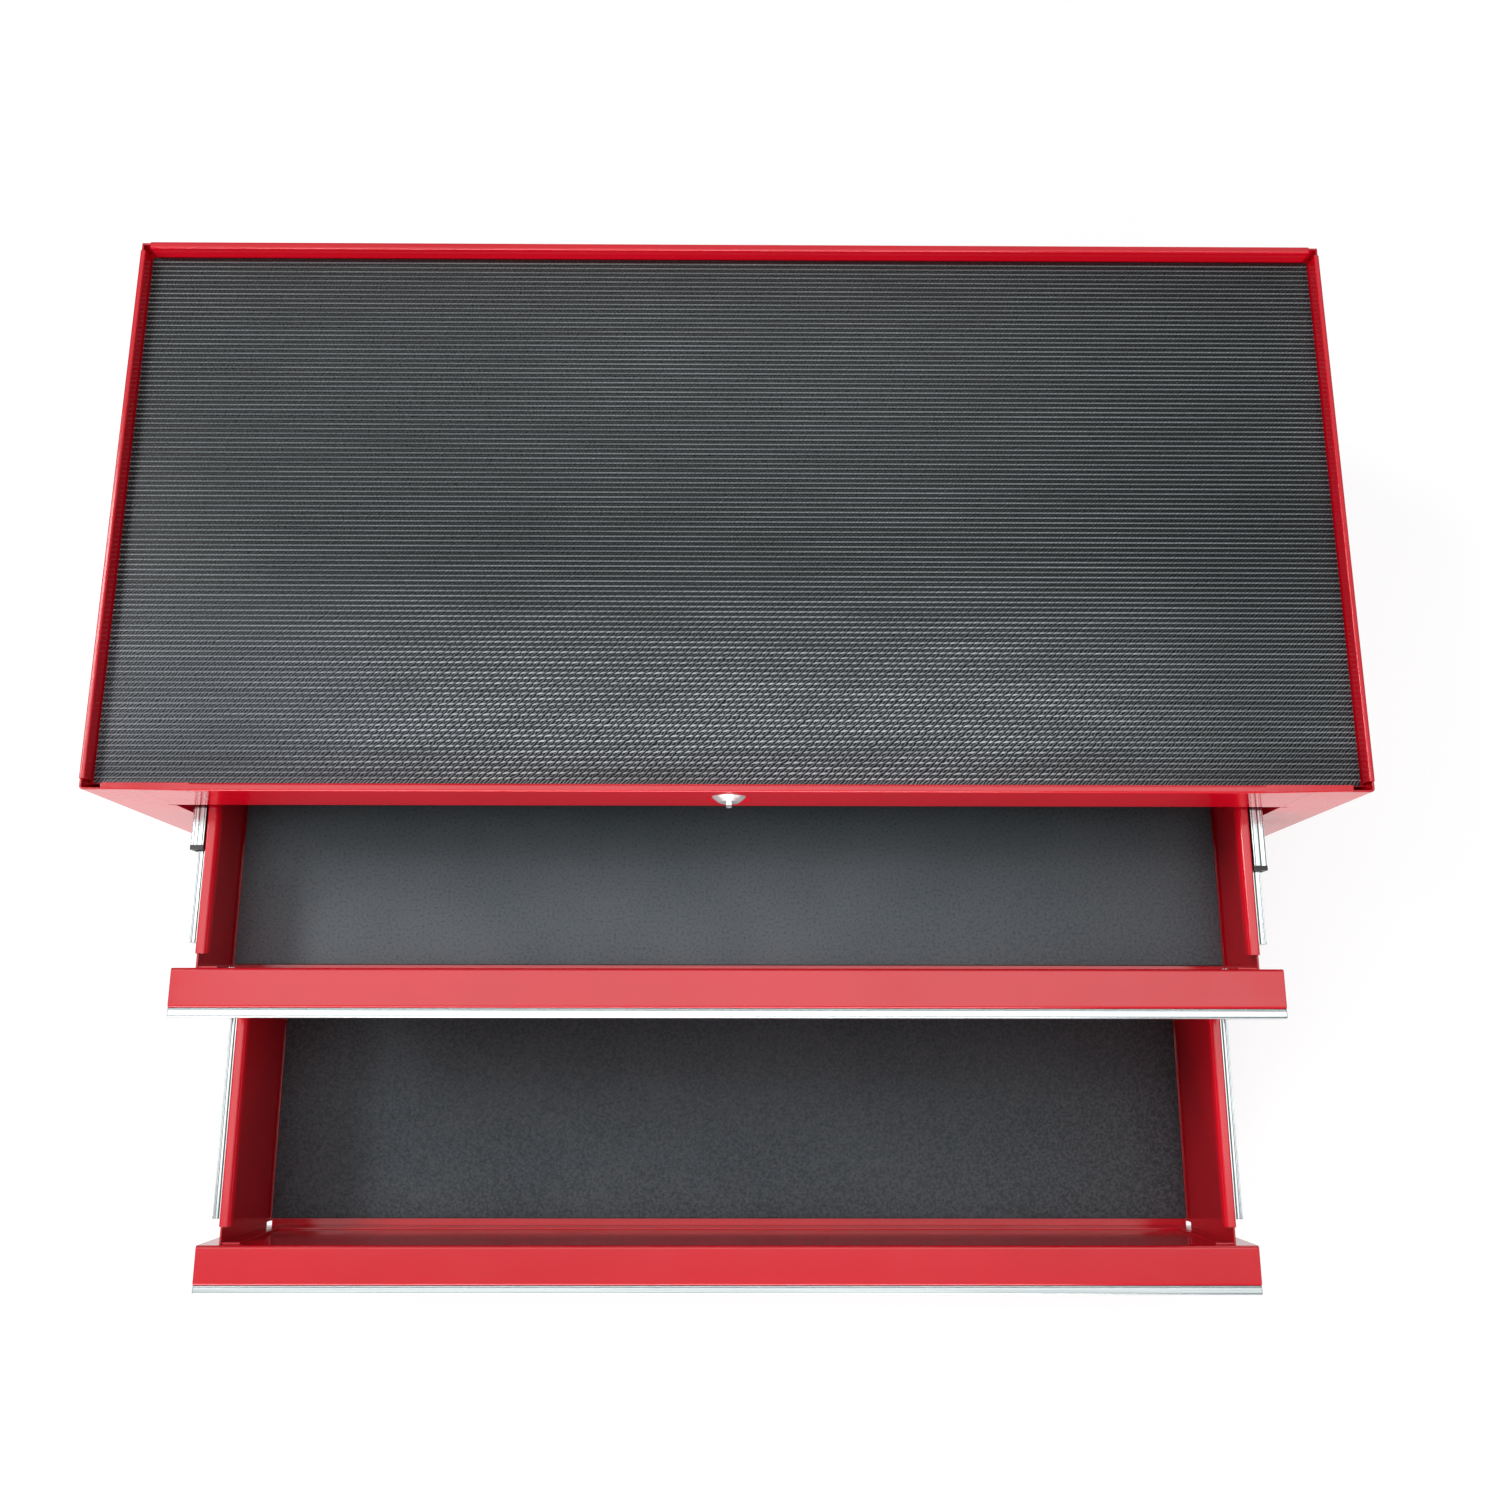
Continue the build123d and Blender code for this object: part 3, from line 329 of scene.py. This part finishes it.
def tray_rubber():
    """Satin black rubber with painted highlights, pale lines on the ribs' crests and pale slanted dashes in
    the front part, and painted shade in the hollows between the dashes.
    """
    s = Shader("tray_rubber")
    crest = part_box("tray_mat")[1].z
    x, y, z = s.axes()
    wave, slow_wave = mat_waves(s, x, y)
    dash = s.ramp(wave, -0.3, 0.5)
    # The front part, where the painted highlight dashes and the painted sheen lie; the dashes are strongest
    # in the middle.
    front_part = s.ramp(y, -0.13, -0.01, 1, 0)
    dashed = s.math("MULTIPLY", front_part, s.ramp(s.math("ABSOLUTE", x), 0.12, 0.3, 1, 0.2))

    # Painted highlights: pale lines along the crests, and pale lens-shaped dashes and strokes in the front
    # part, of uneven strength from row to row.
    line = s.ramp(z, crest - 0.1 * MM, crest - 0.02 * MM)
    body = s.ramp(z, crest - 0.28 * MM, crest - 0.04 * MM)
    thin = s.math("MULTIPLY", line, s.ramp(dash, 0, 1, 0.55, 1))
    lens = s.math("MULTIPLY", body, s.ramp(slow_wave, -0.4, 0.4))
    stroke = s.math("MULTIPLY", s.ramp(wave, 0.3, 0.9, 0, 0.36), front_part)
    steady = s.math("MULTIPLY", thin, s.math("SUBTRACT", 1.0, dashed))
    painted_glint = s.math("MAXIMUM", s.math("ADD", steady, s.math("MULTIPLY", lens, dashed)), stroke)
    row = s.ramp(s.noise(1.0, detail=3, at=s.scaled(14, 330, 1)), 0.3, 0.7, 0.55, 1.0)
    # Painted shade in the hollows between the dashes, stronger at the front.
    hollow_shade = s.math("MULTIPLY", s.ramp(wave, -0.1, -0.7), s.ramp(y, -0.13, 0.1, 0.75, 0.5))

    pale, deep = mat_colours(s, x, y, front_part, dashed)
    grain = s.noise(1800, detail=2)
    s.set(Base_Color=s.mix(s.math("MULTIPLY", painted_glint, row), s.mix(hollow_shade, deep, rgb(5, 6, 7)), pale))
    s.set(Specular_IOR_Level=s.ramp(hollow_shade, 0, 1, 0.5, 0.1))
    s.set(Roughness=s.ramp(grain, 0, 1, 0.22, 0.34))
    s.set(Normal=s.bump(grain, 0.015 * MM, under=s.bump(dash, 0.2 * MM)))
    return s.material


MATERIALS = {
    "red_paint": red_paint(),
    "tray_rubber": tray_rubber(),
    "liner_foam": liner_foam(),
    "bright_aluminium": bright_aluminium(),
    "zinc_steel": zinc_steel(),
    "black_plastic": black_plastic(),
    "lock_chrome": lock_chrome(),
    "plain_steel": plain_steel(),
}


def paint_nodes():
    """Every CAD node gets the material of its slot in the record."""
    for sub_part in frame["record"]["subparts"]:
        mesh = frame["nodes"][sub_part["node"]].data
        mesh.materials.clear()
        mesh.materials.append(MATERIALS[sub_part["material_slot"]])


# Pieces made here


def piece(name, mesh, slot, body):
    """A new object that rides on a body and takes its finish from a slot."""
    made = bpy.data.objects.new(name, mesh)
    bpy.context.scene.collection.objects.link(made)
    mesh.materials.append(MATERIALS[slot])
    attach(made, body)
    return made


# Half widths of a rib, from the mat's face up to its crest, and of the fine line between two ribs
RIB_FOOT = 0.74 * MM
RIB_SHOULDER = 0.52 * MM
RIB_CREST = 0.2 * MM
FINE_LINE = 0.26 * MM

# Heights, where a whole rib's is 1
SHOULDER_RISE = 0.75
FINE_LINE_RISE = 0.6


def rib_profile(front, back, face, crest):
    """(y, z) points of the mat's top from front to back: one round rib and one fine line in each row."""
    shoulder = face + SHOULDER_RISE * (crest - face)
    fine_top = face + FINE_LINE_RISE * (crest - face)
    points = [(front, face)]
    count = rib_count()
    for row in range(count):
        y = first_rib() + row * MAT_ROW
        points += [
            (y - RIB_FOOT, face),
            (y - RIB_SHOULDER, shoulder),
            (y - RIB_CREST, crest),
            (y + RIB_CREST, crest),
            (y + RIB_SHOULDER, shoulder),
            (y + RIB_FOOT, face),
        ]
        if row < count - 1:
            middle = y + MAT_ROW / 2
            points += [(middle - FINE_LINE, face), (middle, fine_top), (middle + FINE_LINE, face)]
    return points + [(back, face)]


def ribbed_mat():
    """The tray's mat, with its ribs as geometry. It stands for the plain sheet of the CAD model."""
    low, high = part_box("tray_mat")
    profile = rib_profile(low.y, high.y, high.z - MAT_FACE_DROP, high.z)
    outline = [(low.y, low.z)] + profile + [(high.y, low.z)]
    mesh = bpy.data.meshes.new("ribbed_mat")
    shape = bmesh.new()
    left = [shape.verts.new((low.x, y, z)) for y, z in outline]
    right = [shape.verts.new((high.x, y, z)) for y, z in outline]
    count = len(outline)
    for i in range(count):
        j = (i + 1) % count
        shape.faces.new((left[i], left[j], right[j], right[i]))
    for side in (left, right):
        shape.faces.new(side)
    bmesh.ops.recalc_face_normals(shape, faces=shape.faces)
    shape.to_mesh(mesh)
    shape.free()
    made = piece("ribbed_mat", mesh, "tray_rubber", "cabinet")
    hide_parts("tray_mat")


LINER_CELL = 12 * MM
LINER_EDGE = 0.7 * MM           # radius of the sheet's soft edge
EDGE_MIDDLE = (0.7, 0.3)        # how far out and down the middle of that edge lies, in radii
LINER_WAVE = 0.18 * MM          # the wavy top's level lies this far under the CAD sheet's top
WAVE_PART = 0.9                 # how much of that room its waves take, so that they stay inside it


def foam_top(shape, low, high):
    """Rows of vertices over the sheet's top, as far as its soft edge. The top lifts and dips a little."""
    across = round((high.x - low.x) / LINER_CELL)
    along = round((high.y - low.y) / LINER_CELL)
    rows = []
    for j in range(along + 1):
        y = low.y + LINER_EDGE + (high.y - low.y - 2 * LINER_EDGE) * j / along
        row = []
        for i in range(across + 1):
            x = low.x + LINER_EDGE + (high.x - low.x - 2 * LINER_EDGE) * i / across
            lift = math.sin(x * 23 + y * 9) * math.sin(y * 31 - x * 5)
            row.append(shape.verts.new((x, y, high.z - LINER_WAVE + LINER_WAVE * lift * WAVE_PART)))
        rows.append(row)
    return rows


def pushed_out(value, low, high, shift):
    """value moved outwards by shift if it lies at either end of low..high."""
    if value < low + 2 * LINER_EDGE:
        return value - shift
    if value > high - 2 * LINER_EDGE:
        return value + shift
    return value


def foam_liner(drawer):
    """Foam sheet with soft edges, lying not quite flat on the drawer's floor."""
    node = drawer + "_drawer_liner"
    low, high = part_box(node)
    mesh = bpy.data.meshes.new(drawer + "_foam_liner")
    shape = bmesh.new()
    rows = foam_top(shape, low, high)
    for near, far in zip(rows, rows[1:]):
        for i in range(len(near) - 1):
            shape.faces.new((near[i], near[i + 1], far[i + 1], far[i]))
    rim = (
        rows[0]
        + [row[-1] for row in rows[1:]]
        + rows[-1][-2::-1]
        + [row[0] for row in rows[-2:0:-1]]
    )

    def outward(vertex, shift, z):
        x = pushed_out(vertex.co.x, low.x, high.x, shift)
        y = pushed_out(vertex.co.y, low.y, high.y, shift)
        return shape.verts.new((x, y, z))

    out, down = EDGE_MIDDLE
    shoulder = [outward(v, out * LINER_EDGE, v.co.z - down * LINER_EDGE) for v in rim]
    side = [outward(v, LINER_EDGE, v.co.z - LINER_EDGE) for v in rim]
    foot = [outward(v, LINER_EDGE, low.z) for v in rim]
    for upper, lower in ((rim, shoulder), (shoulder, side), (side, foot)):
        for i, vertex in enumerate(upper):
            j = (i + 1) % len(upper)
            shape.faces.new((vertex, lower[i], lower[j], upper[j]))
    shape.faces.new(foot)
    bmesh.ops.recalc_face_normals(shape, faces=shape.faces)
    for face in shape.faces:
        face.smooth = len(face.verts) == 4
    shape.to_mesh(mesh)
    shape.free()
    made = piece(drawer + "_foam_liner", mesh, "liner_foam", drawer + "_drawer")
    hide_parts(node)


# Studio


def either(tree, first, second):
    """The larger of two sockets, which are 0 or 1."""
    made = tree.nodes.new("ShaderNodeMath")
    made.operation = "MAXIMUM"
    tree.links.new(first, made.inputs[0])
    tree.links.new(second, made.inputs[1])
    return made.outputs[0]


def mixed(tree, factor, first, second):
    """The first shader where the factor is 0 and the second where it is 1."""
    made = tree.nodes.new("ShaderNodeMixShader")
    for value, socket in zip((factor, first, second), made.inputs):
        tree.links.new(value, socket)
    return made.outputs[0]


def stage_material(name):
    """A new material with an empty node tree, for what isn't part of the object."""
    made = bpy.data.materials.new(name)
    made.use_nodes = True
    made.node_tree.nodes.remove(made.node_tree.nodes["Principled BSDF"])
    return made, made.node_tree, made.node_tree.nodes["Material Output"].inputs["Surface"]


def stage_object(name, mesh):
    made = bpy.data.objects.new(name, mesh)
    bpy.context.scene.collection.objects.link(made)
    return made


WORLD_LIGHT = 0.2               # the soft light from all round


def world():
    """White all round to the camera and in reflections, and a plain soft light on the object."""
    made = bpy.data.worlds.new("studio")
    bpy.context.scene.world = made
    made.use_nodes = True
    tree = made.node_tree
    light = tree.nodes["Background"]
    light.inputs["Strength"].default_value = WORLD_LIGHT
    white = tree.nodes.new("ShaderNodeBackground")
    for background in (light, white):
        background.inputs["Color"].default_value = (1, 1, 1, 1)
    path = tree.nodes.new("ShaderNodeLightPath")
    seen = either(tree, path.outputs["Is Camera Ray"], path.outputs["Is Glossy Ray"])
    seen = either(tree, seen, path.outputs["Is Transmission Ray"])
    surface = tree.nodes["World Output"].inputs["Surface"]
    tree.links.new(mixed(tree, seen, light.outputs[0], white.outputs[0]), surface)


FLOOR_HALF = 7.0
FLOOR_SINK = 0.2 * MM           # the floor lies this far under the chest
FLOOR_WHITE = 0.4               # how much light the floor throws back on the chest
FLOOR_SHADE = 0.3               # how strongly the camera sees the chest's shadow
FLOOR_GLOW = 0.78               # what the camera sees of the floor in full shadow
GLOW_RISE = (0.8, 2.4)          # the floor turns fully white between these distances from the chest


def floor_glow(tree):
    """FLOOR_GLOW under the chest, rising to full white well outside its shadow."""
    distance = tree.nodes.new("ShaderNodeVectorMath")
    distance.operation = "LENGTH"
    tree.links.new(tree.nodes.new("ShaderNodeTexCoord").outputs["Object"], distance.inputs[0])
    rise = tree.nodes.new("ShaderNodeMapRange")
    rise.interpolation_type = "SMOOTHSTEP"
    rise.inputs["From Min"].default_value, rise.inputs["From Max"].default_value = GLOW_RISE
    rise.inputs["To Min"].default_value = FLOOR_GLOW
    rise.inputs["To Max"].default_value = 1.0
    tree.links.new(distance.outputs["Value"], rise.inputs["Value"])
    return rise.outputs["Result"]


def matt(tree, grey):
    made = tree.nodes.new("ShaderNodeBsdfDiffuse")
    made.inputs["Color"].default_value = (grey, grey, grey, 1)
    return made.outputs[0]


def floor():
    """Pale floor, white to the camera with a light shadow of the chest, and clear from below."""
    corners = [(x * FLOOR_HALF, y * FLOOR_HALF, 0) for x, y in ((-1, -1), (1, -1), (1, 1), (-1, 1))]
    mesh = bpy.data.meshes.new("floor")
    mesh.from_pydata(corners, [], [(0, 1, 2, 3)])
    made = stage_object("floor", mesh)
    made.location.z = -FLOOR_SINK
    material, tree, surface = stage_material("pale_floor")
    mesh.materials.append(material)

    glow = tree.nodes.new("ShaderNodeEmission")
    tree.links.new(floor_glow(tree), glow.inputs["Strength"])
    lit = tree.nodes.new("ShaderNodeAddShader")
    tree.links.new(matt(tree, FLOOR_SHADE), lit.inputs[0])
    tree.links.new(glow.outputs[0], lit.inputs[1])
    path = tree.nodes.new("ShaderNodeLightPath")
    seen = either(tree, path.outputs["Is Camera Ray"], path.outputs["Is Glossy Ray"])
    top = mixed(tree, seen, matt(tree, FLOOR_WHITE), lit.outputs[0])
    below = tree.nodes.new("ShaderNodeNewGeometry").outputs["Backfacing"]
    clear = tree.nodes.new("ShaderNodeBsdfTransparent").outputs[0]
    tree.links.new(mixed(tree, below, top, clear), surface)


RING_RADIUS = 3.2
RING_LEVELS = (0.75, 2.7)       # heights of its lower and upper edge
RING_SIDES = 64
RING_GLOW = 0.03


def dark_ring():
    """Dark walls of the room, which only reflections show: they draw the dark lines along every fold."""
    turns = [math.tau * i / RING_SIDES for i in range(RING_SIDES)]
    around = [(RING_RADIUS * math.cos(t), RING_RADIUS * math.sin(t)) for t in turns]
    corners = [(x, y, z) for z in RING_LEVELS for x, y in around]
    faces = []
    for i in range(RING_SIDES):
        j = (i + 1) % RING_SIDES
        faces.append((i, j, RING_SIDES + j, RING_SIDES + i))
    mesh = bpy.data.meshes.new("dark_ring")
    mesh.from_pydata(corners, [], faces)
    made = stage_object("dark_ring", mesh)
    made.visible_camera = False
    made.visible_diffuse = False
    made.visible_transmission = False
    made.visible_shadow = False
    material, tree, surface = stage_material("dark_wall")
    mesh.materials.append(material)
    dark = tree.nodes.new("ShaderNodeEmission")
    dark.inputs["Strength"].default_value = RING_GLOW
    tree.links.new(dark.outputs[0], surface)


LAMP_AIM = (0, -0.13, 0.1)

# Name, place, width and height, radiance
LAMPS = (
    ("key_lamp", (-1.8, 0.6, 2.3), (1.0, 0.7), 13.5),
    ("overhead_lamp", (0, -0.08, 2.5), (2.6, 1.1), 1.9),
    ("front_lamp", (-0.3, -2.3, 0.8), (2.0, 0.9), 9),
    ("back_lamp", (0.5, 2.3, 0.9), (2.0, 0.9), 2.5),
)


def lamp(name, place, size, glow):
    """Rectangular area lamp at a place, pointing at the chest. glow is its radiance."""
    data = bpy.data.lights.new(name, "AREA")
    data.shape = "RECTANGLE"
    data.size, data.size_y = size
    data.energy = glow * math.pi * size[0] * size[1]
    made = bpy.data.objects.new(name, data)
    bpy.context.scene.collection.objects.link(made)
    made.location = place
    made.rotation_mode = "QUATERNION"
    made.rotation_quaternion = (Vector(LAMP_AIM) - Vector(place)).to_track_quat("-Z", "Y")


CAMERA_PLACE = (0.0069, -0.2862, 0.8732)
CAMERA_DOWN = 77.05             # degrees below the horizon
CAMERA_TURN = 1.49              # degrees to the right of straight ahead
CAMERA_ROLL = 1.59
CAMERA_LENS = 31.65             # millimetres, as is the sensor's width
CAMERA_SENSOR = 36


def camera():
    """The camera of the photograph, looking down over the chest's front."""
    down, turn, roll = (math.radians(a) for a in (CAMERA_DOWN, CAMERA_TURN, CAMERA_ROLL))
    ahead = Vector((math.sin(turn) * math.cos(down), math.cos(turn) * math.cos(down), -math.sin(down)))
    right = Vector((math.cos(turn), -math.sin(turn), 0))
    up = right.cross(ahead)
    rolled_right = math.cos(roll) * right + math.sin(roll) * up
    rolled_up = -math.sin(roll) * right + math.cos(roll) * up
    data = bpy.data.cameras.new("camera")
    data.lens = CAMERA_LENS
    data.sensor_width = CAMERA_SENSOR
    data.clip_start = 0.01
    data.clip_end = 100
    made = bpy.data.objects.new("camera", data)
    bpy.context.scene.collection.objects.link(made)
    turned = Matrix((rolled_right, rolled_up, -ahead)).transposed()
    made.matrix_world = Matrix.Translation(CAMERA_PLACE) @ turned.to_4x4()
    bpy.context.scene.camera = made


camera()
paint_nodes()
ribbed_mat()
for drawer in ("upper", "lower"):
    foam_liner(drawer)
world()
floor()
dark_ring()
for values in LAMPS:
    lamp(*values)
bpy.context.scene.view_settings.view_transform = "Standard"
